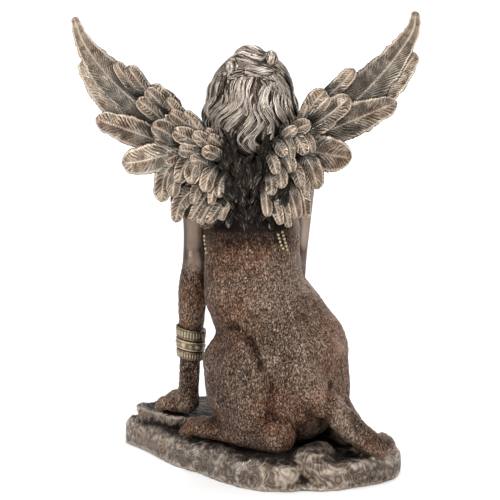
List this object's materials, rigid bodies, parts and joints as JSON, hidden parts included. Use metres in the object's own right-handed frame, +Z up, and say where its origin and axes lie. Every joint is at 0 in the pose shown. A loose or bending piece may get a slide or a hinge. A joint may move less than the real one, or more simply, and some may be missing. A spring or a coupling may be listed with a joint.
{
  "type": "sphinx statue",
  "caption": "Seated winged sphinx in cold-cast bronze: woman's head, long waved hair, torso and arms on a lion's body, spread feathered wings, on a rock plinth.",
  "frame": {"origin": "on the plinth's flat underside, straight below the small of the figure's back", "axes": "+Z up; the woman's face and chest look along -Y; the lion's body and the plinth are turned 38 degrees from that, towards +X"},
  "size_m": [0.1766, 0.125, 0.2349],
  "materials": {
    "figure_bronze": "cold-cast bronze resin, dark brown and dry-brushed lighter on the high places, satin",
    "rock_bronze": "cold-cast bronze resin, grey tan over dark hollows, satin"
  },
  "bodies": {
    "root": {"sphinx_figure": "figure_bronze", "rock_plinth": "rock_bronze"}
  },
  "joints": []
}
